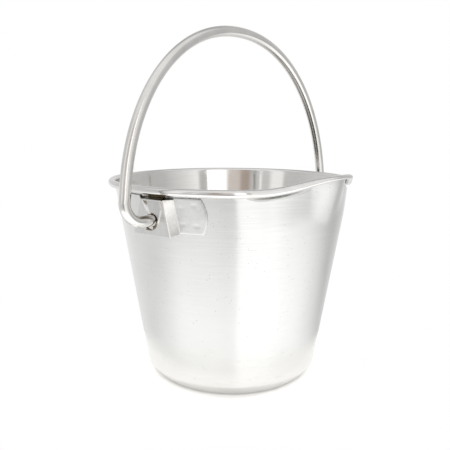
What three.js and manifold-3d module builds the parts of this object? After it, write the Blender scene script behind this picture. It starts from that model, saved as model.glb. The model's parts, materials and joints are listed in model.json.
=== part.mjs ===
// A stainless steel milking pail with a pressed pouring lip, two bent sheet ears and a
// swinging bail. Millimetres, +Z up, pail standing on z = 0, lip towards +X, and the bail's
// axis along Y. The origin is under the middle of the mouth's box, on the floor.
import * as THREE from 'three';
import { mergeVertices } from 'three/addons/utils/BufferGeometryUtils.js';
import Module from 'manifold-3d';

const wasm = await Module();
wasm.setup();

// Driving dimensions of the pail.
const MOUTH_RADIUS = 140; // over the rolled bead
const RIM_HEIGHT = 221; // centre of the bead above the floor
const BEAD_RADIUS = 4;
const RIM_WIRE_RADIUS = 2.5;
const WALL_SHEET = 1;
const BASE_RADIUS = 99; // outside, where the wall turns into the base chamfer
const CHAMFER_HEIGHT = 12.8;
const STAND_RADIUS = 88; // outer edge of the flat ring that the pail stands on
const STAND_WIDTH = 10;
const PANEL_LIFT = 2; // how far the middle of the base is pressed up
const PANEL_SLOPE = 3;
const BEAD_CIRCLE = MOUTH_RADIUS - BEAD_RADIUS;

// The pouring lip, pressed out of the wall and raised.
const LIP_REACH = 8; // how far the bead is pushed out at the tip
const LIP_RAISE = 11;
const LIP_DEPTH = 34; // how far down the wall the forming runs under the tip
const LIP_HALF_ANGLE = THREE.MathUtils.degToRad(39);
const FLANK_ANGLE = THREE.MathUtils.degToRad(29.6); // from the lip's direction to a flank's normal
const FLANK_INSET = 5; // how far inside the bead's circle a flank's line passes
const FLANK_COVE = 3.5; // height of the cove under the bead that takes up most of the inset
const FLANK_WALL_SHARE = 0.3; // the part of the inset that the wall below the cove follows
const SHOULDER_RADIUS = 60; // the bend from a flank into the round rim

// The bail and the ears that carry it.
const BAIL_ROD_RADIUS = 5.5;
const BAIL_AXIS_HEIGHT = 193;
const BAIL_AXIS_OFFSET = 15.5; // ahead of the pail's own axis, on the lip's side
const BAIL_HALF_SPAN = 170.7; // rod centre line to the middle of the pail
const BAIL_RISE = 190.4; // top of the arch above the axis
const BAIL_BEND_RADIUS = 20;
const BAIL_END = 132; // where each end of the rod stops, inside its ear
const BAIL_FULLNESS = 0.953; // 1 is an ellipse, less is squarer
const BAIL_LEAN = THREE.MathUtils.degToRad(-2); // it stands leaning a little away from the lip
const EAR_SHEET = 1.5;
const EAR_GAP = 0.4; // between an ear and the wall it is welded to
const EAR_FACE_RADIUS = 140; // outside of the flat face, from the pail's axis
const EAR_HOLE_RADIUS = 7;
const EAR_WING_REACH = 48; // along the wall, at the wing's corners
const EAR_WING_BULGE = 5;
const EAR_BOTTOM = 181;
const EAR_TOP = 215;
const EAR_SHELF_HALF_WIDTH = 16;

const ROUND_SEGMENTS = 64;
const PAIL_CENTRE_X = -LIP_REACH / 2;
const BAIL_AXIS_X = PAIL_CENTRE_X + BAIL_AXIS_OFFSET;

const steel = (name, color, roughness) =>
  Object.assign(new THREE.MeshStandardMaterial({ color, roughness, metalness: 1 }), { name });
const brushedSteel = steel('brushed_stainless', 0xcfcfcc, 0.32);
const polishedSteel = steel('polished_stainless', 0xd8d6d2, 0.18);
const wireSteel = steel('drawn_wire', 0xb9b9b6, 0.35);

// Keeps positions only, merges shared vertices and drops triangles that have no area.
function weld(geometry) {
  const bare = geometry.clone();
  bare.deleteAttribute('normal');
  bare.deleteAttribute('uv');
  const merged = mergeVertices(bare, 1e-3);
  const corners = merged.index.array;
  const kept = [];
  for (let i = 0; i < corners.length; i += 3) {
    const [a, b, c] = [corners[i], corners[i + 1], corners[i + 2]];
    if (a !== b && b !== c && c !== a) kept.push(a, b, c);
  }
  merged.setIndex(kept);
  merged.computeVertexNormals();
  return merged;
}

function toManifold(geometry) {
  const welded = weld(geometry);
  return new wasm.Manifold(new wasm.Mesh({
    numProp: 3,
    vertProperties: new Float32Array(welded.attributes.position.array),
    triVerts: new Uint32Array(welded.index.array),
  }));
}

function toGeometry(solid) {
  const mesh = solid.getMesh();
  const geometry = new THREE.BufferGeometry();
  geometry.setAttribute('position', new THREE.BufferAttribute(mesh.vertProperties, 3));
  geometry.setIndex(new THREE.BufferAttribute(mesh.triVerts, 1));
  geometry.computeVertexNormals();
  return geometry;
}

function part(name, geometry, material) {
  const mesh = new THREE.Mesh(weld(geometry), material);
  mesh.name = name;
  return mesh;
}

// The two faces of a bent sheet whose middle line is given: each point moves half a sheet
// sideways along the mitre of its two neighbouring segments.
function sheetFaces(line, thickness) {
  const faces = [[], []];
  line.forEach((point, i) => {
    const before = line[Math.max(i - 1, 0)];
    const after = line[Math.min(i + 1, line.length - 1)];
    const toPoint = point.clone().sub(i > 0 ? before : point).normalize();
    const fromPoint = after.clone().sub(i < line.length - 1 ? point : after).normalize();
    if (i === 0) toPoint.copy(fromPoint);
    if (i === line.length - 1) fromPoint.copy(toPoint);
    const along = toPoint.clone().add(fromPoint).normalize();
    const mitre = thickness / 2 / along.dot(fromPoint);
    const sideways = new THREE.Vector2(along.y, -along.x).multiplyScalar(mitre);
    faces[0].push(point.clone().add(sideways));
    faces[1].push(point.clone().sub(sideways));
  });
  return faces;
}

function arc(centreX, centreY, radius, fromDegrees, toDegrees, steps) {
  return Array.from({ length: steps + 1 }, (_, i) => {
    const angle = THREE.MathUtils.degToRad(fromDegrees + ((toDegrees - fromDegrees) * i) / steps);
    return new THREE.Vector2(centreX + radius * Math.cos(angle), centreY + radius * Math.sin(angle));
  });
}

// Outside radius of the plain wall at a height.
function wallRadius(height) {
  const top = MOUTH_RADIUS - 2 * BEAD_RADIUS + WALL_SHEET;
  const share = (height - CHAMFER_HEIGHT) / (RIM_HEIGHT - CHAMFER_HEIGHT);
  return THREE.MathUtils.lerp(BASE_RADIUS, top, share);
}

// Distance from the pail's axis, in the direction angle, to an arc whose centre lies at a
// distance and an angle of its own.
function arcReach(angle, centre, centreAngle, radius) {
  const turn = angle - centreAngle;
  return centre * Math.cos(turn) + Math.sqrt(radius ** 2 - (centre * Math.sin(turn)) ** 2);
}

// Distance from the axis to the middle of the bead, at an angle from the lip's direction. The
// tip is an arc, a flat flank follows on each side, and a shoulder arc joins it to the circle.
function beadPlan(angle) {
  const flank = BEAD_CIRCLE - FLANK_INSET;
  const mitre = 1 / Math.cos(FLANK_ANGLE);
  const tipRadius = (flank * mitre - BEAD_CIRCLE - LIP_REACH) / (mitre - 1);
  const tipCentre = BEAD_CIRCLE + LIP_REACH - tipRadius;
  const tipEnd = FLANK_ANGLE - Math.atan2(tipCentre * Math.sin(FLANK_ANGLE), flank);
  const shoulderCentre = BEAD_CIRCLE - SHOULDER_RADIUS;
  const shoulderTurn = Math.acos((flank - SHOULDER_RADIUS) / shoulderCentre);
  const flankEnd = FLANK_ANGLE + Math.atan2(shoulderCentre * Math.sin(shoulderTurn), flank);
  if (angle < tipEnd) return arcReach(angle, tipCentre, 0, tipRadius);
  if (angle < flankEnd) return flank / Math.cos(angle - FLANK_ANGLE);
  if (angle > FLANK_ANGLE + shoulderTurn) return BEAD_CIRCLE;
  return arcReach(angle, shoulderCentre, FLANK_ANGLE + shoulderTurn, SHOULDER_RADIUS);
}

// Moves a point of the plain pail to where the lip's forming leaves it. The bead moves as a
// whole. Under the tip the wall follows less and less down to a rounded lower boundary, and
// under the flanks it mostly stays where it was.
function formLip(point) {
  const angle = Math.abs(Math.atan2(point.y, point.x));
  const push = beadPlan(angle) - BEAD_CIRCLE;
  const share = Math.max(0, 1 - angle / LIP_HALF_ANGLE);
  const beadBottom = RIM_HEIGHT - BEAD_RADIUS;
  const depth = THREE.MathUtils.lerp(FLANK_COVE, LIP_DEPTH, Math.sqrt(share));
  const follow = THREE.MathUtils.smoothstep(point.z, beadBottom - depth, beadBottom);
  const wall = THREE.MathUtils.smoothstep(point.z, beadBottom - LIP_DEPTH, beadBottom);
  const cove = THREE.MathUtils.smoothstep(point.z, beadBottom - FLANK_COVE, beadBottom);
  const drawnIn = THREE.MathUtils.lerp(cove, wall, FLANK_WALL_SHARE);
  const raise = LIP_RAISE * Math.sin((Math.PI / 2) * share) ** 2;
  const radius = Math.hypot(point.x, point.y);
  const stretch = (radius + push * (push > 0 ? follow : drawnIn)) / radius;
  return point.set(point.x * stretch, point.y * stretch, point.z + raise * follow);
}

// Runs a function over every vertex of a geometry.
function bend(geometry, move) {
  const positions = geometry.attributes.position;
  const point = new THREE.Vector3();
  for (let i = 0; i < positions.count; i += 1) {
    point.copy(move(point.fromBufferAttribute(positions, i)));
    positions.setXYZ(i, point.x, point.y, point.z);
  }
  return geometry;
}

// One drawn sheet: raised base panel, standing ring, chamfer, tapered wall and the bead,
// which is rolled outwards over the rim wire and stops short of the wall.
function pailBody() {
  const half = WALL_SHEET / 2;
  const wallRows = [0, 0.3, 0.6, 0.9, 0.95, 1].map((share) => {
    const height = RIM_HEIGHT - BEAD_RADIUS - LIP_DEPTH * (1 - share);
    return new THREE.Vector2(wallRadius(height) - half, height);
  });
  const middle = [
    new THREE.Vector2(0, PANEL_LIFT + half),
    new THREE.Vector2(STAND_RADIUS - STAND_WIDTH - PANEL_SLOPE, PANEL_LIFT + half),
    new THREE.Vector2(STAND_RADIUS - STAND_WIDTH, half),
    new THREE.Vector2(STAND_RADIUS, half),
    new THREE.Vector2(BASE_RADIUS - half, CHAMFER_HEIGHT),
    ...wallRows,
    ...arc(BEAD_CIRCLE, RIM_HEIGHT, BEAD_RADIUS - half, 180, -110, 11),
  ];
  const [outside, inside] = sheetFaces(middle, WALL_SHEET);
  const outline = [...outside, ...inside.reverse()];
  const plain = new THREE.LatheGeometry(outline, ROUND_SEGMENTS).rotateX(Math.PI / 2);
  return part('pail_body', bend(plain, formLip), brushedSteel);
}

function rimWire() {
  const plain = new THREE.TorusGeometry(BEAD_CIRCLE, RIM_WIRE_RADIUS, 8, ROUND_SEGMENTS);
  plain.translate(0, 0, RIM_HEIGHT);
  return part('rim_wire', bend(plain, formLip), wireSteel);
}

// The ear's middle line in plan at a share v of its height, from one wing's end to the
// other: x runs along the wall and y away from the pail's axis. The wings follow the wall,
// the face stands off it, and a V shaped dart is pressed in from the face's top edge.
const EAR_LEVELS = 5;
const EAR_STATIONS = 12;

function earSection(v) {
  const height = THREE.MathUtils.lerp(EAR_BOTTOM, EAR_TOP, v);
  const wingRadius = wallRadius(height) + EAR_GAP + EAR_SHEET / 2;
  const onWall = (reach) => new THREE.Vector2(
    wingRadius * Math.sin(reach / wingRadius),
    wingRadius * Math.cos(reach / wingRadius),
  );
  const faceLine = EAR_FACE_RADIUS - EAR_SHEET / 2;
  const footReach = THREE.MathUtils.lerp(24, 21.5, v);
  const crestReach = THREE.MathUtils.lerp(22.5, 13.5, v);
  const wingEnd = EAR_WING_REACH + EAR_WING_BULGE * Math.sin(Math.PI * v);
  const dart = THREE.MathUtils.clamp((v - 0.6) / 0.4, 0, 1);
  const half = [
    onWall(wingEnd),
    onWall((wingEnd + footReach) / 2),
    onWall(footReach),
    new THREE.Vector2(crestReach, faceLine),
    new THREE.Vector2(THREE.MathUtils.lerp(5, 11.5, dart), faceLine),
    new THREE.Vector2(THREE.MathUtils.lerp(2, 7, dart), faceLine - 3.5 * dart),
  ];
  const mirrored = half.map((point) => new THREE.Vector2(-point.x, point.y)).reverse();
  return [...half, ...mirrored];
}

// Heights of the blank's edges: the face's corners are drawn down where the sheet bends out.
function earHeight(station, v) {
  const fromEnd = Math.min(station, EAR_STATIONS - 1 - station);
  const bottom = fromEnd >= 3 ? EAR_BOTTOM - 2.5 : EAR_BOTTOM;
  const top = fromEnd >= 3 ? EAR_TOP - 2.5 : EAR_TOP;
  return THREE.MathUtils.lerp(bottom, top, v);
}

function earSolid() {
  const sections = Array.from({ length: EAR_LEVELS + 1 }, (_, level) =>
    sheetFaces(earSection(level / EAR_LEVELS), EAR_SHEET));
  const blank = new THREE.BoxGeometry(1, 1, 1, EAR_STATIONS - 1, 1, EAR_LEVELS);
  const hat = bend(blank, (point) => {
    const station = Math.round((0.5 - point.x) * (EAR_STATIONS - 1));
    const level = Math.round((point.z + 0.5) * EAR_LEVELS);
    const face = sections[level][point.y > 0 ? 0 : 1];
    const place = face[station];
    return point.set(place.x, place.y, earHeight(station, level / EAR_LEVELS));
  });
  const faceTop = EAR_TOP - 2.5;
  const shelfDepth = EAR_FACE_RADIUS - wallRadius(faceTop + EAR_SHEET) - EAR_GAP;
  const shelf = new THREE.BoxGeometry(2 * EAR_SHELF_HALF_WIDTH, shelfDepth, EAR_SHEET);
  shelf.translate(0, EAR_FACE_RADIUS - shelfDepth / 2, faceTop);
  const hole = new THREE.CylinderGeometry(EAR_HOLE_RADIUS, EAR_HOLE_RADIUS, 8, 24);
  hole.translate(0, EAR_FACE_RADIUS, 0).translate(0, 0, BAIL_AXIS_HEIGHT);
  return toManifold(hat).add(toManifold(shelf)).subtract(toManifold(hole));
}

// An ear sits where the bail's axis crosses its face, on the side that the sign gives.
function ear(name, side) {
  const mesh = part(name, toGeometry(earSolid()), brushedSteel);
  const turn = Math.asin(BAIL_AXIS_OFFSET / (EAR_FACE_RADIUS - EAR_SHEET / 2));
  mesh.rotation.z = side > 0 ? -turn : Math.PI + turn;
  return mesh;
}

// Centre line of the bail about its own axis: a straight end through each ear, a quarter
// bend and half of a full arch, mirrored.
function bailPath() {
  const bendCentre = BAIL_HALF_SPAN - BAIL_BEND_RADIUS;
  const half = [new THREE.Vector2(BAIL_END, 0), new THREE.Vector2((BAIL_END + bendCentre) / 2, 0)];
  half.push(...arc(bendCentre, BAIL_BEND_RADIUS, BAIL_BEND_RADIUS, -90, 0, 6));
  const archSteps = 16;
  const firstAngle = 0.16;
  for (let i = 0; i <= archSteps; i += 1) {
    const angle = THREE.MathUtils.lerp(firstAngle, Math.PI / 2, i / archSteps);
    const across = BAIL_HALF_SPAN * Math.pow(Math.cos(angle), BAIL_FULLNESS);
    half.push(new THREE.Vector2(across, BAIL_RISE * Math.pow(Math.sin(angle), BAIL_FULLNESS)));
  }
  half[half.length - 1].x = 0;
  const mirrored = half.slice(0, -1).map((point) => new THREE.Vector2(-point.x, point.y)).reverse();
  const points = [...half, ...mirrored].map((point) => new THREE.Vector3(0, point.x, point.y));
  return new THREE.CatmullRomCurve3(points, false, 'centripetal');
}

function bailHandle() {
  const section = new THREE.Shape().absarc(0, 0, BAIL_ROD_RADIUS, 0, 2 * Math.PI);
  const geometry = new THREE.ExtrudeGeometry(section, {
    steps: 84,
    curveSegments: 5,
    extrudePath: bailPath(),
  });
  const mesh = part('bail_handle', geometry, polishedSteel);
  mesh.position.set(BAIL_AXIS_X, 0, BAIL_AXIS_HEIGHT);
  mesh.rotation.y = BAIL_LEAN;
  return mesh;
}

const pail = new THREE.Group();
pail.position.x = PAIL_CENTRE_X;
pail.add(pailBody(), rimWire(), ear('ear_right', -1), ear('ear_left', 1));

const milkingPail = new THREE.Group();
milkingPail.add(pail, bailHandle());

export default milkingPail;
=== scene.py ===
"""A stainless steel milking pail: the looks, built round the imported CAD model. Metres."""
import bpy
import bmesh
import json
import math
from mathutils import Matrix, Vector


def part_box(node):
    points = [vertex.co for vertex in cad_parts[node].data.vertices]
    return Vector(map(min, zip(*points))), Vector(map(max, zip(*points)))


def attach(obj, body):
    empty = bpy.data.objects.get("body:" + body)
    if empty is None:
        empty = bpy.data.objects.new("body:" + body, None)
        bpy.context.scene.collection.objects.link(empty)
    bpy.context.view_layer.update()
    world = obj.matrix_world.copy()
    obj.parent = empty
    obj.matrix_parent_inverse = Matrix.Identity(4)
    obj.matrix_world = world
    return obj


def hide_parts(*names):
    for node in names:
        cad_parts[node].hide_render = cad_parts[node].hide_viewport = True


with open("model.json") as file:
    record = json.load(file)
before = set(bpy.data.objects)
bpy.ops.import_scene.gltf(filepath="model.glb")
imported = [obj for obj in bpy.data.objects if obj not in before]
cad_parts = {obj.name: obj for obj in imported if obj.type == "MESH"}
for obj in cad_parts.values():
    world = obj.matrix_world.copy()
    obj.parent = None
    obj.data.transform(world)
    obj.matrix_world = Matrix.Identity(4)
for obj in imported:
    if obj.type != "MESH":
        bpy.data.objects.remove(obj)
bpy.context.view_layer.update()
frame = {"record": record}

# ---------------------------------------------------------------- sizes, from the frame
MM = 0.001
body_low, body_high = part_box("pail_body")
wire_low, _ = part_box("rim_wire")
MOUTH_RADIUS = (body_high.y - body_low.y) / 2
BEAD_RADIUS = 4 * MM
WIRE_RADIUS = 2.5 * MM
WALL_SHEET = 1 * MM
PAIL_X = body_low.x + MOUTH_RADIUS
LIP_REACH = body_high.x - PAIL_X - MOUTH_RADIUS
RIM_HEIGHT = wire_low.z + WIRE_RADIUS
LIP_RAISE = body_high.z - BEAD_RADIUS - RIM_HEIGHT
LIP_DEPTH = 34 * MM
LIP_HALF_ANGLE = math.radians(39)
FLANK_ANGLE = math.radians(29.6)
FLANK_INSET = 5 * MM
FLANK_COVE = 3.5 * MM
FLANK_WALL_SHARE = 0.3
SHOULDER_RADIUS = 60 * MM
TIP_SQUEEZE = 0.42
BEAD_CIRCLE = MOUTH_RADIUS - BEAD_RADIUS
BASE_RADIUS = 99 * MM
CHAMFER_HEIGHT = 12.8 * MM
STAND_RADIUS = 88 * MM
STAND_WIDTH = 10 * MM
PANEL_LIFT = 2 * MM
PANEL_SLOPE = 3 * MM
BASE_FILLETS = [2.5 * MM, 2.0 * MM, 1.4 * MM, 1.1 * MM]
CURL_END = -133
CURL_STEPS = 44
AROUND = 384

swing = next(j for j in frame["record"]["behaviour"]["joints"] if j["name"] == "bail_swing")
BAIL_AXIS = Vector(swing["pos_m"])
bail_low, bail_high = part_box("bail_handle")
ROD_RADIUS = BAIL_AXIS.z - bail_low.z
BAIL_HALF_SPAN = (bail_high.y - bail_low.y) / 2 - ROD_RADIUS
BAIL_RISE = 190.4 * MM
BAIL_BEND_RADIUS = 20 * MM
BAIL_END = 132 * MM
ROD_HIDDEN_END = 6 * MM
BAIL_FULLNESS = 0.953
BAIL_LEAN = math.radians(-2)
BAIL_CORNER_END = 0.13
ROD_END_TAPER = 1 * MM

EAR_SHEET = 1.5 * MM
EAR_GAP = 0.4 * MM
EAR_FACE_RADIUS = MOUTH_RADIUS
EAR_HOLE_RADIUS = 7.6 * MM
EAR_HOLE_DROP = 1.4 * MM
EAR_WING_REACH = 48 * MM
EAR_WING_BULGE = 5 * MM
EAR_BOTTOM = 181 * MM
EAR_TOP = 215 * MM
EAR_CREST_DROP = 2.5 * MM
EDGE_ROUND = 0.5 * MM
EDGE_BEVEL = 0.3 * MM
EDGE_TURNS = (30, 60, 90, 120, 150)
END_TURNS = (80, 60, 30)
# From the face's middle, at the ear's bottom and top.
FOOT_REACH = (24 * MM, 21.5 * MM)
CREST_REACH = (22.5 * MM, 13.5 * MM)
FOOT_RADIUS = 1.7 * MM
CREST_RADIUS = 1.2 * MM
FOOT_CLEARANCE = 2.4 * MM
CREST_CLEARANCE = 1.1 * MM
# Stations along the ear's line between which its edges come down to the face.
CREST_STATIONS = (12, 22)
SHELF_FRONT_HALF = 12.6 * MM
SHELF_BACK_HALF = 8.5 * MM
SHELF_RISE = 1.2 * MM
# Each side's welds: distance along the wall from the face's middle, and height.
WELD_PLACES = ((29, 206), (42, 209), (29, 190), (43, 189))
WELDS = [(side * reach * MM, height * MM) for side in (-1, 1) for reach, height in WELD_PLACES]
WELD_DEPTH = 0.25 * MM
WELD_INNER = 0.7 * MM
WELD_OUTER = 2.7 * MM

# The dart. Side -1 of the face has the ridge. Edges are at the dart's bottom and top.
DART_BOTTOM = 192 * MM
DART_DEPTH = 3.6 * MM
DART_EDGES = {-1: (8 * MM, 14 * MM), 1: (-1 * MM, 12.4 * MM)}
DART_MARGIN = {-1: 2.3 * MM, 1: 0.4 * MM}
DART_WALL = {-1: 1.3 * MM, 1: 2.4 * MM}
DART_FOOT = {-1: 1.9 * MM, 1: 0.3 * MM}
DART_TIP_HALF = 3.5 * MM
RIDGE_HEIGHT = {-1: 0.9 * MM, 1: 0.0}

# Where shade is painted on the wall behind the ears. The bearing is from the back of the pail.
EAR_BEARING = math.acos((PAIL_X - BAIL_AXIS.x) / MOUTH_RADIUS)
SHADE_BOTTOM = 180 * MM
SHADE_REACH = 12 * MM


def lerp(low, high, share):
    return low + (high - low) * share


def clamp(value, low=0.0, high=1.0):
    return max(low, min(high, value))


def smoothstep(value, low, high):
    share = clamp((value - low) / (high - low))
    return share * share * (3 - 2 * share)


# ---------------------------------------------------------------- camera
# The photograph's viewpoint: the lip is 50 degrees to the right of the near side.
VIEW_AZIMUTH = math.radians(40)
VIEW_DISTANCE = 644 * MM
VIEW_HEIGHT = 283.5 * MM
VIEW_PITCH = math.radians(10.15)
VIEW_YAW = math.radians(0.74)
VIEW_ROLL = math.radians(-0.26)
LENS = 44.64


def make_camera():
    camera = bpy.data.objects.new("camera", bpy.data.cameras.new("camera"))
    camera.data.lens = LENS
    camera.data.sensor_width = 36
    camera.location = (
        PAIL_X + VIEW_DISTANCE * math.sin(VIEW_AZIMUTH),
        -VIEW_DISTANCE * math.cos(VIEW_AZIMUTH),
        VIEW_HEIGHT,
    )
    camera.rotation_euler = (math.pi / 2 - VIEW_PITCH, VIEW_ROLL, VIEW_AZIMUTH + VIEW_YAW)
    bpy.context.collection.objects.link(camera)
    bpy.context.scene.camera = camera


# ---------------------------------------------------------------- node helpers
def new_material(name):
    material = bpy.data.materials.new(name)
    material.use_nodes = True
    nodes = material.node_tree.nodes
    nodes.clear()
    output = nodes.new("ShaderNodeOutputMaterial")
    shader = nodes.new("ShaderNodeBsdfPrincipled")
    shader.inputs["Metallic"].default_value = 1.0
    material.node_tree.links.new(shader.outputs["BSDF"], output.inputs["Surface"])
    return material, shader


class Graph:
    """Short names for the few kinds of node that the steels are made of."""

    def __init__(self, material):
        self.nodes = material.node_tree.nodes
        self.links = material.node_tree.links

    def add(self, kind, **settings):
        node = self.nodes.new(kind)
        for key, value in settings.items():
            setattr(node, key, value)
        return node

    def link(self, source, target):
        self.links.new(source, target)

    def value(self, operation, first, second=0.0, third=None):
        node = self.add("ShaderNodeMath", operation=operation)
        for socket, item in zip(node.inputs, (first, second, third)):
            if item is None:
                continue
            if isinstance(item, (int, float)):
                socket.default_value = item
            else:
                self.link(item, socket)
        return node.outputs[0]

    def scale_vector(self, vector, factors):
        node = self.add("ShaderNodeVectorMath", operation="MULTIPLY")
        self.link(vector, node.inputs[0])
        node.inputs[1].default_value = factors
        return node.outputs[0]

    def noise(self, vector, scale=1.0, detail=2.0, roughness=0.5):
        node = self.add("ShaderNodeTexNoise")
        self.link(vector, node.inputs["Vector"])
        node.inputs["Scale"].default_value = scale
        node.inputs["Detail"].default_value = detail
        node.inputs["Roughness"].default_value = roughness
        return node.outputs["Fac"]

    def remap(self, value, from_low, from_high, to_low, to_high):
        node = self.add("ShaderNodeMapRange")
        self.link(value, node.inputs["Value"])
        for key, number in (
            ("From Min", from_low), ("From Max", from_high), ("To Min", to_low), ("To Max", to_high),
        ):
            node.inputs[key].default_value = number
        return node.outputs["Result"]

    def mix_colour(self, share, first, second):
        node = self.add("ShaderNodeMix", data_type="RGBA")
        self.link(share, node.inputs["Factor"])
        for socket, colour in ((node.inputs["A"], first), (node.inputs["B"], second)):
            if isinstance(colour, tuple):
                socket.default_value = colour
            else:
                self.link(colour, socket)
        return node.outputs["Result"]

    def bump(self, height, strength, distance):
        node = self.add("ShaderNodeBump")
        self.link(height, node.inputs["Height"])
        node.inputs["Strength"].default_value = strength
        node.inputs["Distance"].default_value = distance
        return node


def from_axis(graph):
    """Place about the pail's axis: x, y, height and distance from the axis."""
    position = graph.add("ShaderNodeTexCoord").outputs["Object"]
    split = graph.add("ShaderNodeSeparateXYZ")
    graph.link(position, split.inputs[0])
    x, y, z = split.outputs
    x = graph.value("SUBTRACT", x, PAIL_X)
    squares = graph.value(
        "ADD", graph.value("MULTIPLY", x, x), graph.value("MULTIPLY", y, y)
    )
    return x, y, z, graph.value("SQRT", squares)


def grain_vector(graph, along, across):
    """Coordinates for lines that run round the pail: they change slowly along a circle
    and fast with height and radius together, so that they turn into rings on the base."""
    x, y, z, radius = from_axis(graph)
    climb = graph.value("ADD", z, radius)
    joined = graph.add("ShaderNodeCombineXYZ")
    graph.link(graph.value("MULTIPLY", x, along), joined.inputs["X"])
    graph.link(graph.value("MULTIPLY", y, along), joined.inputs["Y"])
    graph.link(graph.value("MULTIPLY", climb, across), joined.inputs["Z"])
    return joined.outputs[0]


def pits(graph, position, scale, size):
    """1 inside small scattered pits and 0 elsewhere. Only some cells hold one."""
    cells = graph.add("ShaderNodeTexVoronoi")
    graph.link(position, cells.inputs["Vector"])
    cells.inputs["Scale"].default_value = scale
    inside = graph.remap(cells.outputs["Distance"], size, size * 0.4, 0.0, 1.0)
    chosen = graph.value("GREATER_THAN", graph.noise(position, scale * 0.31, 0.0), 0.6)
    return graph.value("MULTIPLY", inside, chosen)


def wall_steel(name, colour_low, colour_high, rough_low, rough_high, anisotropy, grain, depth):
    """Sheet steel with a grain that runs round the pail, soft blotches and a few pits."""
    material, shader = new_material(name)
    graph = Graph(material)
    position = graph.add("ShaderNodeTexCoord").outputs["Object"]
    fine = graph.noise(grain_vector(graph, 26, grain), 1.0, 3.0, 0.6)
    coarse = graph.noise(grain_vector(graph, 9, grain * 0.16), 1.0, 2.0, 0.5)
    lines = graph.value(
        "ADD", graph.value("MULTIPLY", fine, 0.85), graph.value("MULTIPLY", coarse, 0.15)
    )
    blotch = graph.noise(position, 16.0, 3.0, 0.55)
    holes = pits(graph, position, 330.0, 0.17)
    shade = graph.value(
        "ADD", graph.value("MULTIPLY", lines, 0.7), graph.value("MULTIPLY", blotch, 0.3)
    )
    tone = graph.mix_colour(graph.remap(shade, 0.36, 0.64, 0.0, 1.0), colour_low, colour_high)
    dark = graph.mix_colour(graph.value("MULTIPLY", holes, 0.6), tone, (0.30, 0.27, 0.22, 1))
    graph.link(dark, shader.inputs["Base Color"])
    rough = graph.remap(shade, 0.34, 0.66, rough_low, rough_high)
    rough = graph.value("ADD", rough, graph.value("MULTIPLY", holes, 0.2))
    graph.link(rough, shader.inputs["Roughness"])
    shader.inputs["Anisotropic"].default_value = anisotropy
    shader.inputs["Anisotropic Rotation"].default_value = 0.25
    tangent = graph.add("ShaderNodeTangent", direction_type="RADIAL", axis="Z")
    graph.link(tangent.outputs[0], shader.inputs["Tangent"])
    relief = graph.value("SUBTRACT", lines, graph.value("MULTIPLY", holes, 0.8))
    bump = graph.bump(relief, depth, 0.0002)
    graph.link(bump.outputs[0], shader.inputs["Normal"])
    return material


def sheet_steel(name, colour_low, colour_high):
    """The ears' dull sheet: cross-rolled grain, blotches, pits and small bright scuffs."""
    material, shader = new_material(name)
    graph = Graph(material)
    position = graph.add("ShaderNodeTexCoord").outputs["Object"]
    rolled = graph.noise(graph.scale_vector(position, (700, 700, 420)), 1.0, 3.0, 0.6)
    blotch = graph.noise(position, 90.0, 4.0, 0.6)
    scuffs = graph.noise(graph.scale_vector(position, (500, 500, 2600)), 1.0, 2.0, 0.5)
    holes = pits(graph, position, 520.0, 0.16)
    shade = graph.value(
        "ADD", graph.value("MULTIPLY", rolled, 0.45), graph.value("MULTIPLY", blotch, 0.55)
    )
    tone = graph.mix_colour(
        graph.remap(shade, 0.35, 0.65, 0.0, 1.0), colour_low, colour_high
    )
    dark = graph.mix_colour(graph.value("MULTIPLY", holes, 0.55), tone, (0.28, 0.25, 0.22, 1))
    graph.link(dark, shader.inputs["Base Color"])
    rough = graph.remap(shade, 0.35, 0.65, 0.26, 0.40)
    rough = graph.value("ADD", rough, graph.value("MULTIPLY", holes, 0.2))
    graph.link(rough, shader.inputs["Roughness"])
    relief = graph.value(
        "ADD", graph.value("MULTIPLY", rolled, 0.6), graph.value("MULTIPLY", scuffs, 0.4)
    )
    relief = graph.value("SUBTRACT", relief, graph.value("MULTIPLY", holes, 0.8))
    bump = graph.bump(relief, 0.08, 0.0003)
    graph.link(bump.outputs[0], shader.inputs["Normal"])
    return material


def rod_steel(name):
    """Polished drawn bar: lines along the rod, from the length and girth kept in its UVs."""
    material, shader = new_material(name)
    graph = Graph(material)
    lengthwise = graph.add("ShaderNodeUVMap", uv_map="rod").outputs[0]
    position = graph.add("ShaderNodeTexCoord").outputs["Object"]
    drawn = graph.noise(graph.scale_vector(lengthwise, (14, 1900, 0)), 1.0, 3.0, 0.6)
    nicks = graph.noise(graph.scale_vector(lengthwise, (90, 160, 0)), 1.0, 2.0, 0.5)
    blotch = graph.noise(position, 45.0, 3.0, 0.55)
    shade = graph.value(
        "ADD", graph.value("MULTIPLY", drawn, 0.6), graph.value("MULTIPLY", blotch, 0.4)
    )
    tone = graph.mix_colour(
        graph.remap(shade, 0.35, 0.65, 0.0, 1.0), (0.68, 0.665, 0.645, 1), (0.82, 0.81, 0.79, 1)
    )
    graph.link(tone, shader.inputs["Base Color"])
    graph.link(graph.remap(shade, 0.35, 0.65, 0.14, 0.26), shader.inputs["Roughness"])
    relief = graph.value(
        "ADD", graph.value("MULTIPLY", drawn, 0.7), graph.value("MULTIPLY", nicks, 0.3)
    )
    bump = graph.bump(relief, 0.015, 0.0002)
    graph.link(bump.outputs[0], shader.inputs["Normal"])
    return material


# ---------------------------------------------------------------- mesh helpers
def new_object(name, mesh):
    obj = bpy.data.objects.new(name, mesh)
    bpy.context.collection.objects.link(obj)
    return obj


def smooth_all(mesh):
    for polygon in mesh.polygons:
        polygon.use_smooth = True


def arc(centre, radius, start, end, steps):
    """Points of an arc, in degrees, both ends included."""
    points = []
    for i in range(steps + 1):
        angle = math.radians(lerp(start, end, i / steps))
        across, up = radius * math.cos(angle), radius * math.sin(angle)
        points.append(Vector((centre[0] + across, centre[1] + up)))
    return points


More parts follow.
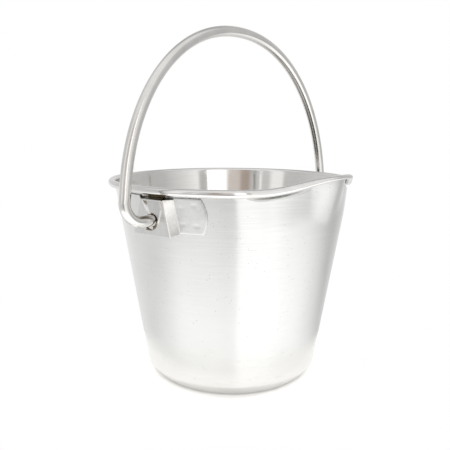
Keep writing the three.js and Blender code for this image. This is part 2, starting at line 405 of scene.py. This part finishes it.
def fillet(before, corner, after, radius, steps):
    """The arc that rounds a corner of a line."""
    into = (corner - before).normalized()
    out = (after - corner).normalized()
    turn = into.angle_signed(out)
    cut = radius * math.tan(abs(turn) / 2)
    start = corner - into * cut
    side = Vector((-into.y, into.x)) * (-1 if turn > 0 else 1)
    centre = start + side * radius
    spoke = start - centre
    points = []
    for i in range(steps + 1):
        angle = -turn * i / steps
        cosine, sine = math.cos(angle), math.sin(angle)
        across = spoke.x * cosine - spoke.y * sine
        up = spoke.x * sine + spoke.y * cosine
        points.append(centre + Vector((across, up)))
    return points


def sheet_faces(line, thickness):
    """The two faces of a bent sheet, half its thickness either side of its middle line."""
    left, right = [], []
    for i, point in enumerate(line):
        before = line[max(i - 1, 0)]
        after = line[min(i + 1, len(line) - 1)]
        into = (point - before).normalized() if i > 0 else (after - point).normalized()
        out = (after - point).normalized() if i < len(line) - 1 else into
        along = (into + out).normalized()
        sideways = Vector((along.y, -along.x)) * (thickness / 2 / along.dot(out))
        right.append(point + sideways)
        left.append(point - sideways)
    return right, left


# ---------------------------------------------------------------- the pail's body
def wall_radius(height):
    """Outside radius of the plain wall at a height."""
    top = MOUTH_RADIUS - 2 * BEAD_RADIUS + WALL_SHEET
    return lerp(BASE_RADIUS, top, (height - CHAMFER_HEIGHT) / (RIM_HEIGHT - CHAMFER_HEIGHT))


def arc_reach(angle, centre, centre_angle, radius):
    """Distance from the axis, in the direction angle, to an arc round a centre of its own."""
    turn = angle - centre_angle
    return centre * math.cos(turn) + math.sqrt(radius ** 2 - (centre * math.sin(turn)) ** 2)


def bead_plan(angle):
    """Distance from the axis to the middle of the bead. The lip's tip is an arc, a flat
    flank follows on each side, and a shoulder arc joins it to the round rim."""
    flank = BEAD_CIRCLE - FLANK_INSET
    mitre = 1 / math.cos(FLANK_ANGLE)
    tip_radius = (flank * mitre - BEAD_CIRCLE - LIP_REACH) / (mitre - 1)
    tip_centre = BEAD_CIRCLE + LIP_REACH - tip_radius
    tip_end = FLANK_ANGLE - math.atan2(tip_centre * math.sin(FLANK_ANGLE), flank)
    shoulder_centre = BEAD_CIRCLE - SHOULDER_RADIUS
    shoulder_turn = math.acos((flank - SHOULDER_RADIUS) / shoulder_centre)
    flank_end = FLANK_ANGLE + math.atan2(shoulder_centre * math.sin(shoulder_turn), flank)
    if angle < tip_end:
        return arc_reach(angle, tip_centre, 0, tip_radius)
    if angle < flank_end:
        return flank / math.cos(angle - FLANK_ANGLE)
    if angle > FLANK_ANGLE + shoulder_turn:
        return BEAD_CIRCLE
    return arc_reach(angle, shoulder_centre, FLANK_ANGLE + shoulder_turn, SHOULDER_RADIUS)


def form_lip(x, y, z):
    """Where a point of the plain pail, about its own axis, goes when the lip is formed. Under
    the tip the wall follows the bead down to a rounded boundary, and under the flanks it
    mostly stays where it was."""
    angle = abs(math.atan2(y, x))
    push = bead_plan(angle) - BEAD_CIRCLE
    share = max(0.0, 1 - angle / LIP_HALF_ANGLE)
    bead_bottom = RIM_HEIGHT - BEAD_RADIUS
    depth = lerp(FLANK_COVE, LIP_DEPTH, math.sqrt(share))
    follow = smoothstep(z, bead_bottom - depth, bead_bottom)
    wall = smoothstep(z, bead_bottom - LIP_DEPTH, bead_bottom)
    cove = smoothstep(z, bead_bottom - FLANK_COVE, bead_bottom)
    drawn_in = lerp(cove, wall, FLANK_WALL_SHARE)
    rise = LIP_RAISE * math.sin(math.pi / 2 * share) ** 2
    below_top = min(RIM_HEIGHT + BEAD_RADIUS - z, 2 * BEAD_RADIUS)
    rise += TIP_SQUEEZE * smoothstep(share, 0.35, 1.0) * below_top
    radius = math.hypot(x, y)
    stretch = (radius + push * (follow if push > 0 else drawn_in)) / radius
    return x * stretch, y * stretch, z + rise * follow


def pail_middle_line():
    """Middle of the sheet from the base's centre to the curled edge of the bead."""
    half = WALL_SHEET / 2
    corners = [
        Vector((0, PANEL_LIFT + half)),
        Vector((STAND_RADIUS - STAND_WIDTH - PANEL_SLOPE, PANEL_LIFT + half)),
        Vector((STAND_RADIUS - STAND_WIDTH, half)),
        Vector((STAND_RADIUS, half)),
        Vector((BASE_RADIUS - half, CHAMFER_HEIGHT)),
        Vector((wall_radius(RIM_HEIGHT) - half, RIM_HEIGHT)),
    ]
    line = [corners[0] + (corners[1] - corners[0]) * (i / 12) for i in range(12)]
    for i, radius in enumerate(BASE_FILLETS, start=1):
        line += fillet(corners[i - 1], corners[i], corners[i + 1], radius, 5)
    low, high = CHAMFER_HEIGHT + 4 * MM, RIM_HEIGHT - BEAD_RADIUS
    plain_rows, lip_rows = 20, 30
    lip_start = high - LIP_DEPTH
    heights = [lerp(low, lip_start, i / plain_rows) for i in range(plain_rows)]
    heights.append(SHADE_BOTTOM)
    heights += [lerp(lip_start, high, 1 - (1 - i / lip_rows) ** 1.5) for i in range(lip_rows + 1)]
    line += [Vector((wall_radius(height) - half, height)) for height in heights]
    line += arc((BEAD_CIRCLE, RIM_HEIGHT), BEAD_RADIUS - half, 180, CURL_END, CURL_STEPS)
    return line


def pail_body(materials):
    """One drawn sheet. Material 0 is outside, 1 inside, 2 on the bead and 3, dark brown painted
    shade, on the wall in the hollow behind the ears."""
    middle = pail_middle_line()
    right, left = sheet_faces(middle, WALL_SHEET)
    outline = right + left[::-1]
    bead_first = len(middle) - CURL_STEPS - 3
    bead_last = len(outline) - bead_first
    verts, rings, faces, slots = [], [], [], []
    for point in outline:
        if point.x < 1e-6:
            rings.append([len(verts)] * AROUND)
            verts.append((PAIL_X, 0, point.y))
            continue
        ring = []
        for step in range(AROUND):
            angle = 2 * math.pi * step / AROUND
            x, y, z = form_lip(point.x * math.cos(angle), point.x * math.sin(angle), point.y)
            ring.append(len(verts))
            verts.append((PAIL_X + x, y, z))
        rings.append(ring)
    for i in range(len(rings) - 1):
        slot = 2 if bead_first <= i < bead_last else (0 if i < len(middle) else 1)
        shade_row = slot == 0 and outline[i].y > SHADE_BOTTOM - 0.1 * MM
        for step in range(AROUND):
            after = (step + 1) % AROUND
            quad = [rings[i][step], rings[i][after], rings[i + 1][after], rings[i + 1][step]]
            faces.append(list(dict.fromkeys(quad)))
            from_back = abs(2 * math.pi * (step + 0.5) / AROUND - math.pi)
            from_ear = abs(from_back - EAR_BEARING)
            # Faces on the wall behind each ear take material 3, the painted shade.
            slots.append(3 if shade_row and from_ear * MOUTH_RADIUS < SHADE_REACH else slot)
    mesh = bpy.data.meshes.new("pail_shell")
    mesh.from_pydata(verts, [], faces)
    for material in materials:
        mesh.materials.append(material)
    mesh.polygons.foreach_set("material_index", slots)
    smooth_all(mesh)
    obj = new_object("pail_shell", mesh)
    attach(obj, "pail")
    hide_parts("pail_body")


def rim_wire(material):
    """The round wire that the sheet is curled over. It follows the bead all the way round."""
    sides = 20
    verts, faces = [], []
    for step in range(AROUND):
        angle = 2 * math.pi * step / AROUND
        for side in range(sides):
            turn = 2 * math.pi * side / sides
            radius = BEAD_CIRCLE + WIRE_RADIUS * math.cos(turn)
            height = RIM_HEIGHT + WIRE_RADIUS * math.sin(turn)
            x, y, z = form_lip(radius * math.cos(angle), radius * math.sin(angle), height)
            verts.append((PAIL_X + x, y, z))
    for step in range(AROUND):
        here, there = step * sides, (step + 1) % AROUND * sides
        for side in range(sides):
            after = (side + 1) % sides
            faces.append([here + side, there + side, there + after, here + after])
    mesh = bpy.data.meshes.new("rim_wire_bar")
    mesh.from_pydata(verts, [], faces)
    mesh.materials.append(material)
    smooth_all(mesh)
    obj = new_object("rim_wire_bar", mesh)
    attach(obj, "pail")
    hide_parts("rim_wire")


# ---------------------------------------------------------------- ears

def dart_half(side, inner, share):
    """The face's half from just inside the crest to the middle. A dart is pressed into its
    upper part, with a floor that leans inwards. On side -1 the sheet is turned up into a
    ridge beside the dart."""
    edge = min(lerp(*DART_EDGES[side], share), inner - DART_MARGIN[side])
    wall, foot = DART_WALL[side], DART_FOOT[side]
    ridge = RIDGE_HEIGHT[side] * clamp(share * 6)
    middle = -DART_TIP_HALF * (1 - share) * side
    depth = DART_DEPTH * share ** 0.8
    points = [(lerp(inner, edge + foot, i / 3), 0.0) for i in range(3)]
    for part, height in ((0.8, 0.1), (0.5, 0.7), (0.25, 1.0), (0.0, 0.7)):
        points.append((edge + foot * part, -ridge * height))
    points += [(edge - 0.3 * wall, 0.25 * depth), (edge - 0.7 * wall, 0.8 * depth)]
    points += [(lerp(edge - wall, middle, i / 6), depth) for i in range(7)]
    return points


def ear_half(side, v):
    """Half of the ear's middle line in plan, from the wing's end to the middle of the face."""
    height = lerp(EAR_BOTTOM, EAR_TOP, v)
    wing_radius = wall_radius(height) + EAR_GAP + EAR_SHEET / 2
    face = EAR_FACE_RADIUS - EAR_SHEET / 2

    def on_wall(reach):
        return Vector((math.sin(reach / wing_radius), math.cos(reach / wing_radius))) * wing_radius

    foot = lerp(*FOOT_REACH, v)
    crest = lerp(*CREST_REACH, v)
    wing_end = EAR_WING_REACH + EAR_WING_BULGE * math.sin(math.pi * clamp(v)) ** 0.8
    steps = 12
    wing_start = foot + FOOT_CLEARANCE
    half = [on_wall(lerp(wing_end, wing_start, i / steps)) for i in range(steps)]
    crest_corner = Vector((crest, face))
    half += fillet(on_wall(foot + 4 * MM), on_wall(foot), crest_corner, FOOT_RADIUS, 6)
    half += fillet(on_wall(foot), crest_corner, Vector((0, face)), CREST_RADIUS, 6)
    share = clamp((height - DART_BOTTOM) / (EAR_TOP - DART_BOTTOM))
    inner = crest - CREST_CLEARANCE
    half += [Vector((x, face - y)) for x, y in dart_half(side, inner, share)]
    return half


def ear_line(v):
    """Middle line of the ear's sheet in plan at a share v of its height. x runs along the
    wall and y away from the pail's axis."""
    right, left = ear_half(1, v), ear_half(-1, v)
    return right[:-1] + [Vector((-p.x, p.y)) for p in reversed(left)]


def ear_height(station, stations, v):
    """The blank's edges are level on the wings and drawn down over the raised face."""
    from_end = min(station, stations - 1 - station)
    drawn_down = EAR_CREST_DROP * smoothstep(from_end, *CREST_STATIONS)
    return lerp(EAR_BOTTOM, EAR_TOP, v) - drawn_down


def ear_point(place, z, outside):
    """A point of the ear, with the shallow dishes that the spot welds leave on the wings."""
    x, y = place
    radius = math.hypot(x, y)
    if outside:
        reach = math.atan2(x, y) * radius
        for weld_reach, weld_height in WELDS:
            gap = math.hypot(reach - weld_reach, z - weld_height)
            radius -= WELD_DEPTH * (1 - smoothstep(gap, WELD_INNER, WELD_OUTER))
        scale = radius / math.hypot(x, y)
        x, y = x * scale, y * scale
    return x, y, z


def ear_loop(levels):
    """Round the sheet once, up the outside and back down the inside. Each entry is a share of
    the height, a lift over the edge and a place from the outside, 1, to the inside, -1."""
    turns = [(math.sin(math.radians(turn)), math.cos(math.radians(turn))) for turn in EDGE_TURNS]
    loop = [(j / levels, 0.0, 1.0) for j in range(levels + 1)]
    loop += [(1.0, sine, cosine) for sine, cosine in turns]
    loop += [(1 - j / levels, 0.0, -1.0) for j in range(levels + 1)]
    loop += [(0.0, -sine, -cosine) for sine, cosine in turns]
    return loop


def ear_mesh(name):
    """The sheet, built from loops that run round it, one for each station along its line."""
    loop = ear_loop(30)
    columns = []
    for v, lift, _ in loop:
        right, left = sheet_faces(ear_line(v), EAR_SHEET)
        stations = len(right)
        column = []
        for i in range(stations):
            middle, half = (right[i] + left[i]) / 2, (right[i] - left[i]) / 2
            column.append((middle, half, ear_height(i, stations, v) + lift * EDGE_ROUND))
        columns.append(column)
    plan = [(0, math.radians(turn)) for turn in END_TURNS]
    plan += [(i, 0.0) for i in range(stations)]
    plan += [(stations - 1, math.radians(turn)) for turn in reversed(END_TURNS)]
    verts, faces = [], []
    for i, turn in plan:
        for (_, lift, face), column in zip(loop, columns):
            middle, half, z = column[i]
            if turn > 0:
                inward = column[1][0] if i == 0 else column[-2][0]
                middle = middle + (middle - inward).normalized() * (EDGE_ROUND * math.sin(turn))
                half = half * math.cos(turn)
                z -= lift * EDGE_ROUND * (1 - math.cos(turn))
            verts.append(ear_point(middle + half * face, z, face > 0))
    size = len(loop)
    for row in range(len(plan) - 1):
        here, there = row * size, (row + 1) * size
        for k in range(size):
            after = (k + 1) % size
            faces.append([here + k, there + k, there + after, here + after])
    last = (len(plan) - 1) * size
    faces.append(list(range(size)))
    faces.append([last + k for k in reversed(range(size))])
    mesh = bpy.data.meshes.new(name)
    mesh.from_pydata(verts, [], faces)
    bm = bmesh.new()
    bm.from_mesh(mesh)
    bmesh.ops.recalc_face_normals(bm, faces=bm.faces)
    bm.to_mesh(mesh)
    bm.free()
    return mesh


def apply_modifiers(obj):
    graph = bpy.context.evaluated_depsgraph_get()
    mesh = bpy.data.meshes.new_from_object(obj.evaluated_get(graph))
    old = obj.data
    obj.modifiers.clear()
    obj.data = mesh
    bpy.data.meshes.remove(old)


def cut_hole(obj):
    """Cuts the bail's hole through the ear's face."""
    bpy.ops.mesh.primitive_cylinder_add(vertices=72, radius=EAR_HOLE_RADIUS, depth=8 * MM)
    cutter = bpy.context.object
    cutter.data.transform(cutter.matrix_world)
    cutter.rotation_euler = (math.pi / 2, 0, 0)
    cutter.location = (0, EAR_FACE_RADIUS, BAIL_AXIS.z - EAR_HOLE_DROP)
    bpy.context.view_layer.update()
    hole = obj.modifiers.new("hole", "BOOLEAN")
    hole.operation = "DIFFERENCE"
    hole.solver = "MANIFOLD"
    hole.object = cutter
    bpy.context.view_layer.update()
    apply_modifiers(obj)
    bpy.data.objects.remove(cutter)


def ear_shelf():
    """The flange on the raised face's top. It narrows on its way back to the wall, so that
    the hollow behind each riser stays open."""
    top = EAR_TOP - EAR_CREST_DROP
    back = wall_radius(top + EAR_SHEET) + EAR_GAP
    front = EAR_FACE_RADIUS
    mesh = bpy.data.meshes.new("shelf")
    bm = bmesh.new()
    bmesh.ops.create_cube(bm, size=1.0)
    for vert in bm.verts:
        at_front = vert.co.y > 0
        half_width = SHELF_FRONT_HALF if at_front else SHELF_BACK_HALF
        y = front if at_front else back
        z = top + vert.co.z * EAR_SHEET + (0 if at_front else SHELF_RISE)
        vert.co = Vector((vert.co.x * 2 * half_width, y, z))
    bm.to_mesh(mesh)
    bm.free()
    return new_object("shelf", mesh)


# How far each finish reaches from the ear's own middle, and its least height off the wall.
HOLLOW_REACH = 22 * MM
SHELF_REACH = 15 * MM
RISER_REACH = 13 * MM
RISER_LIFT = 2.5 * MM
HOLE_MARGIN = 0.4 * MM


def ear_finishes(mesh):
    """Slot 1 is the stretched riser on each side of the face, painted brighter as a highlight. Slot 2
    is the flange's top, the hole and the hollow behind, dark brown as painted shade."""
    shelf_top = EAR_TOP - EAR_CREST_DROP + 0.3 * EAR_SHEET
    dart_back = EAR_FACE_RADIUS - 2 * EAR_SHEET - DART_DEPTH
    for polygon in mesh.polygons:
        centre, normal = polygon.center, polygon.normal
        reach = abs(centre.x)
        radius = math.hypot(centre.x, centre.y)
        faces_pail = normal.x * centre.x + normal.y * centre.y < 0
        behind = faces_pail and reach < HOLLOW_REACH
        on_shelf = centre.z > shelf_top and normal.z > 0.7 and reach < SHELF_REACH
        from_hole = math.hypot(centre.x, centre.z - BAIL_AXIS.z + EAR_HOLE_DROP)
        in_hole = from_hole < EAR_HOLE_RADIUS + HOLE_MARGIN and centre.y > dart_back
        clear_of_wall = radius > wall_radius(centre.z) + RISER_LIFT
        on_riser = abs(normal.x) > 0.6 and clear_of_wall and reach > RISER_REACH
        # Slot 2 paints shade on the flange's top, the hole and the hollow behind; slot 1 paints a
        # highlight on the risers.
        polygon.material_index = 2 if behind or on_shelf or in_hole else (1 if on_riser else 0)


def ear(name, node, side, materials):
    obj = new_object(name, ear_mesh(name))
    shelf = ear_shelf()
    join = obj.modifiers.new("shelf", "BOOLEAN")
    join.operation = "UNION"
    join.solver = "MANIFOLD"
    join.object = shelf
    bpy.context.view_layer.update()
    apply_modifiers(obj)
    bpy.data.objects.remove(shelf)
    cut_hole(obj)
    edges = obj.modifiers.new("edges", "BEVEL")
    edges.width = EDGE_BEVEL
    edges.segments = 2
    edges.limit_method = "ANGLE"
    edges.angle_limit = math.radians(50)
    bpy.context.view_layer.update()
    apply_modifiers(obj)
    obj.data.materials.clear()
    for material in materials:
        obj.data.materials.append(material)
    ear_finishes(obj.data)
    turn = math.asin((BAIL_AXIS.x - PAIL_X) / (EAR_FACE_RADIUS - EAR_SHEET / 2))
    obj.rotation_euler = (0, 0, -turn if side > 0 else math.pi + turn)
    obj.location = (PAIL_X, 0, 0)
    bpy.context.view_layer.update()
    obj.data.transform(obj.matrix_world)
    obj.location, obj.rotation_euler = (0, 0, 0), (0, 0, 0)
    bpy.context.view_layer.update()
    smooth_all(obj.data)
    obj.data.set_sharp_from_angle(angle=math.radians(38))
    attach(obj, "pail")
    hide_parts(node)


# ---------------------------------------------------------------- the bail
def bail_line():
    """Centre line about the bail's own axis: across, and up from the axis."""
    bend_centre = BAIL_HALF_SPAN - BAIL_BEND_RADIUS
    first_bend = BAIL_END + ROD_HIDDEN_END
    half = [Vector((lerp(BAIL_END, first_bend, i / 3), 0)) for i in range(3)]
    half += [Vector((lerp(first_bend, bend_centre, i / 6), 0)) for i in range(6)]
    half += arc((bend_centre, BAIL_BEND_RADIUS), BAIL_BEND_RADIUS, -90, -2, 24)
    steps = 110
    for i in range(steps + 1):
        angle = lerp(BAIL_CORNER_END, math.pi / 2, i / steps)
        across = BAIL_HALF_SPAN * max(math.cos(angle), 0.0) ** BAIL_FULLNESS
        half.append(Vector((across, BAIL_RISE * math.sin(angle) ** BAIL_FULLNESS)))
    half[-1].x = 0
    return half + [Vector((-p.x, p.y)) for p in reversed(half[:-1])]


def bail(materials):
    """A round rod swept along the line, a little narrower at its ends. Material 1, dark brown
    painted shade, is on the ends where they turn inside the ears."""
    around = 40
    line = bail_line()
    verts, faces, uvs, slots = [], [], [], []
    travelled = [0.0]
    for before, after in zip(line, line[1:]):
        travelled.append(travelled[-1] + (after - before).length)
    rings = []
    girth = 2 * math.pi * ROD_RADIUS / around
    lean = math.cos(BAIL_LEAN), math.sin(BAIL_LEAN)
    for i, point in enumerate(line):
        along = (line[min(i + 1, len(line) - 1)] - line[max(i - 1, 0)]).normalized()
        outward = Vector((-along.y, along.x))
        radius = ROD_RADIUS - (ROD_END_TAPER if i in (0, len(line) - 1) else 0)
        ring = []
        for step in range(around):
            angle = 2 * math.pi * step / around
            flat = point + outward * (radius * math.cos(angle))
            x, z = radius * math.sin(angle), flat.y
            ring.append(len(verts))
            verts.append((
                BAIL_AXIS.x + x * lean[0] + z * lean[1],
                flat.x,
                BAIL_AXIS.z - x * lean[1] + z * lean[0],
            ))
        rings.append(ring)
    for i in range(len(rings) - 1):
        for step in range(around):
            after = (step + 1) % around
            faces.append([rings[i][step], rings[i + 1][step], rings[i + 1][after], rings[i][after]])
            low, high = travelled[i], travelled[i + 1]
            near, far = step * girth, (step + 1) * girth
            uvs += [(low, near), (high, near), (high, far), (low, far)]
            hidden = min(high, travelled[-1] - low) < ROD_HIDDEN_END
            # The ends inside the ears get material 1, the painted shade.
            slots.append(1 if hidden else 0)
    for ring, flip in ((rings[0], False), (rings[-1], True)):
        faces.append(ring[::-1] if flip else list(ring))
        uvs += [(0.0, 0.0)] * around
        slots.append(1)
    mesh = bpy.data.meshes.new("bail_rod")
    mesh.from_pydata(verts, [], faces)
    layer = mesh.uv_layers.new(name="rod")
    for loop, uv in enumerate(uvs):
        layer.data[loop].uv = uv
    smooth_all(mesh)
    mesh.set_sharp_from_angle(angle=math.radians(35))
    for material in materials:
        mesh.materials.append(material)
    mesh.polygons.foreach_set("material_index", slots)
    obj = new_object("bail_rod", mesh)
    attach(obj, "bail")
    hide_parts("bail_handle")


# ---------------------------------------------------------------- floor and light
FLOOR_RADIUS = 165 * MM
FLOOR_EDGE = 10 * MM
FLOOR_DROP = 0.3 * MM
# Painted shade: the table gets darker from here to its edge, as light falls off away from the pail.
FLOOR_PALE_RADIUS = 130 * MM


def pale_floor():
    """A round white table, with a rounded edge."""
    material, shader = new_material("white_table")
    graph = Graph(material)
    shader.inputs["Metallic"].default_value = 0.0
    position = graph.add("ShaderNodeTexCoord").outputs["Object"]
    tone = graph.mix_colour(
        graph.noise(position, 8.0, 3.0, 0.5), (0.90, 0.893, 0.875, 1), (0.94, 0.933, 0.915, 1)
    )
    # Painted shade: the colour darkens towards the table's edge.
    outwards = graph.remap(from_axis(graph)[3], FLOOR_PALE_RADIUS, FLOOR_RADIUS, 0.0, 1.0)
    shaded = graph.mix_colour(outwards, tone, (0.76, 0.755, 0.74, 1))
    graph.link(shaded, shader.inputs["Base Color"])
    shader.inputs["Roughness"].default_value = 0.85
    around = 96
    flat = FLOOR_RADIUS - FLOOR_EDGE
    rings = [(flat, 0.0)]
    for turn in (30, 60, 90):
        sine, cosine = math.sin(math.radians(turn)), math.cos(math.radians(turn))
        rings.append((flat + FLOOR_EDGE * sine, FLOOR_EDGE * cosine - FLOOR_EDGE))
    verts = [(0, 0, 0)]
    for radius, z in rings:
        for i in range(around):
            angle = 2 * math.pi * i / around
            verts.append((PAIL_X + radius * math.cos(angle), radius * math.sin(angle), z))
    faces = [(0, 1 + i, 1 + (i + 1) % around) for i in range(around)]
    for ring in range(len(rings) - 1):
        first = 1 + ring * around
        for i in range(around):
            j = (i + 1) % around
            faces.append((first + i, first + around + i, first + around + j, first + j))
    mesh = bpy.data.meshes.new("floor")
    mesh.from_pydata(verts, [], faces)
    mesh.materials.append(material)
    floor = new_object("floor", mesh)
    floor.location.z = -FLOOR_DROP


def grey(level):
    return (level, level, level, 1)


# Light from the studio round the pail, by the angle in degrees, rightwards, from the side
# that the camera is on. TABLE_NEAR is steeply below, and TABLE_SHEEN is just below level.
ROOM = [
    (-180, grey(0.75)), (-100, grey(0.72)), (-76, grey(0.66)), (-61, grey(0.68)), (-58, grey(1.10)),
    (-46, grey(1.10)), (-42, grey(0.72)), (-33.8, grey(0.70)), (-33.4, grey(2.4)), (-32.6, grey(2.4)),
    (-32.2, grey(0.70)), (-22, grey(0.64)), (-18, (0.48, 0.40, 0.34, 1)),
    (-11, (0.52, 0.44, 0.39, 1)), (-8, (0.76, 0.69, 0.65, 1)), (4, (0.76, 0.70, 0.66, 1)),
    (7, grey(1.5)), (24.5, grey(1.5)), (25.4, grey(1.0)), (26.2, grey(3.0)), (27.2, grey(3.0)),
    (28, grey(0.60)), (36, grey(0.60)), (39, grey(1.12)),
    (52, grey(0.92)), (80, grey(0.62)), (110, grey(0.60)), (180, grey(0.75)),
]
TABLE_SHEEN = [
    (-180, grey(0.95)), (-110, grey(0.90)), (-80, grey(0.76)), (-50, grey(0.76)), (-34, grey(0.66)),
    (-18, grey(0.56)), (-5, grey(0.36)), (4, grey(0.36)), (9, grey(1.15)), (42, grey(1.15)),
    (60, grey(0.74)), (84, grey(0.52)), (130, grey(0.60)), (180, grey(0.95)),
]
TABLE_NEAR = [
    (-180, grey(0.70)), (-125, grey(0.82)), (-70, grey(1.45)), (3, grey(1.52)), (8, grey(1.50)),
    (45, grey(1.50)), (62, grey(1.45)), (90, grey(1.36)), (130, grey(0.88)), (180, grey(0.70)),
]
CEILING = grey(0.95)
CEILING_BEHIND = grey(0.45)
FILL_STRENGTH = 1.55
FILL_TURNS = (0, 115, 245)


def ramp(graph, share, stops):
    """A colour by angle. share runs from 0 at -180 degrees to 1 at 180."""
    node = graph.add("ShaderNodeValToRGB")
    elements = node.color_ramp.elements
    while len(elements) > 1:
        elements.remove(elements[-1])
    for i, (angle, colour) in enumerate(stops):
        place = (angle + 180) / 360
        element = elements[0] if i == 0 else elements.new(place)
        element.position = place
        element.color = colour
    graph.link(share, node.inputs["Fac"])
    return node.outputs["Color"]


class WorldGraph(Graph):
    def __init__(self, world):
        self.nodes = world.node_tree.nodes
        self.links = world.node_tree.links


def studio_light():
    """A room with a window, a lamp and darker walls, by direction alone. The camera itself
    sees plain white."""
    scene = bpy.context.scene
    scene.view_settings.view_transform = "Standard"
    world = bpy.data.worlds.new("studio")
    scene.world = world
    world.use_nodes = True
    graph = WorldGraph(world)
    graph.nodes.clear()
    direction = graph.add("ShaderNodeTexCoord").outputs["Generated"]
    split = graph.add("ShaderNodeSeparateXYZ")
    graph.link(direction, split.inputs[0])
    x, y, z = split.outputs
    sine, cosine = math.sin(VIEW_AZIMUTH), math.cos(VIEW_AZIMUTH)
    towards = graph.value(
        "SUBTRACT", graph.value("MULTIPLY", x, sine), graph.value("MULTIPLY", y, cosine)
    )
    rightwards = graph.value(
        "ADD", graph.value("MULTIPLY", x, cosine), graph.value("MULTIPLY", y, sine)
    )
    angle = graph.value("ARCTAN2", rightwards, towards)
    share = graph.remap(angle, -math.pi, math.pi, 0.0, 1.0)
    behind = graph.remap(towards, -0.15, -0.45, 0.0, 1.0)
    overhead = graph.mix_colour(behind, CEILING, CEILING_BEHIND)
    upwards = graph.remap(z, 0.55, 0.8, 0.0, 1.0)
    above = graph.mix_colour(upwards, ramp(graph, share, ROOM), overhead)
    sooner = graph.remap(rightwards, 0.2, 0.95, 0.0, 0.17)
    nearness = graph.remap(graph.value("SUBTRACT", z, sooner), -0.46, -0.54, 0.0, 1.0)
    sheen, near = ramp(graph, share, TABLE_SHEEN), ramp(graph, share, TABLE_NEAR)
    table = graph.mix_colour(nearness, sheen, near)
    room = graph.mix_colour(graph.remap(z, -0.06, 0.0, 0.0, 1.0), table, above)
    camera_ray = graph.add("ShaderNodeLightPath").outputs["Is Camera Ray"]
    seen = graph.mix_colour(camera_ray, room, grey(1.0))
    background = graph.add("ShaderNodeBackground")
    graph.link(seen, background.inputs["Color"])
    output = graph.add("ShaderNodeOutputWorld")
    graph.link(background.outputs[0], output.inputs["Surface"])


def fill_light(turn):
    """A soft light from above, turned this many degrees from the camera's side. The steel
    doesn't mirror it."""
    lamp = bpy.data.lights.new("fill", "SUN")
    lamp.energy = FILL_STRENGTH
    lamp.angle = math.radians(50)
    fill = new_object("fill_%d" % turn, lamp)
    fill.rotation_euler = (math.radians(48), 0, VIEW_AZIMUTH + math.radians(turn))
    fill.visible_glossy = False


# ---------------------------------------------------------------- assembly
def main():
    make_camera()
    outside = wall_steel(
        "brushed_outside", (0.71, 0.71, 0.70, 1), (0.81, 0.81, 0.80, 1), 0.20, 0.28, 0.92, 3600, 0.05,
    )
    inside = wall_steel(
        "polished_inside", (0.70, 0.69, 0.67, 1), (0.79, 0.78, 0.76, 1), 0.07, 0.13, 0.5, 3000, 0.012,
    )
    bead = wall_steel(
        "polished_bead", (0.70, 0.69, 0.67, 1), (0.82, 0.81, 0.80, 1), 0.10, 0.18, 0.3, 2600, 0.02,
    )
    # Painted shade with painted dark reflection: dark brown steel for the hollows behind the ears,
    # the flanges' tops, the holes and the bail's ends in them.
    painted_shade = sheet_steel("painted_shade_brown", (0.16, 0.13, 0.09, 1), (0.30, 0.25, 0.17, 1))
    pail_body([outside, inside, bead, painted_shade])
    ear_materials = [
        sheet_steel("ear_sheet", (0.69, 0.69, 0.68, 1), (0.77, 0.77, 0.76, 1)),
        # Painted highlight: the risers' steel is lighter than the face's, standing in for the light
        # that they catch.
        sheet_steel("ear_riser_painted_highlight", (0.75, 0.73, 0.70, 1), (0.91, 0.90, 0.88, 1)),
        painted_shade,
    ]
    ear("ear_right_sheet", "ear_right", -1, ear_materials)
    ear("ear_left_sheet", "ear_left", 1, ear_materials)
    bail([rod_steel("bail_bar"), painted_shade])
    rim_wire(sheet_steel("wire_steel", (0.60, 0.60, 0.59, 1), (0.74, 0.735, 0.72, 1)))
    pale_floor()
    studio_light()
    for turn in FILL_TURNS:
        fill_light(turn)


main()
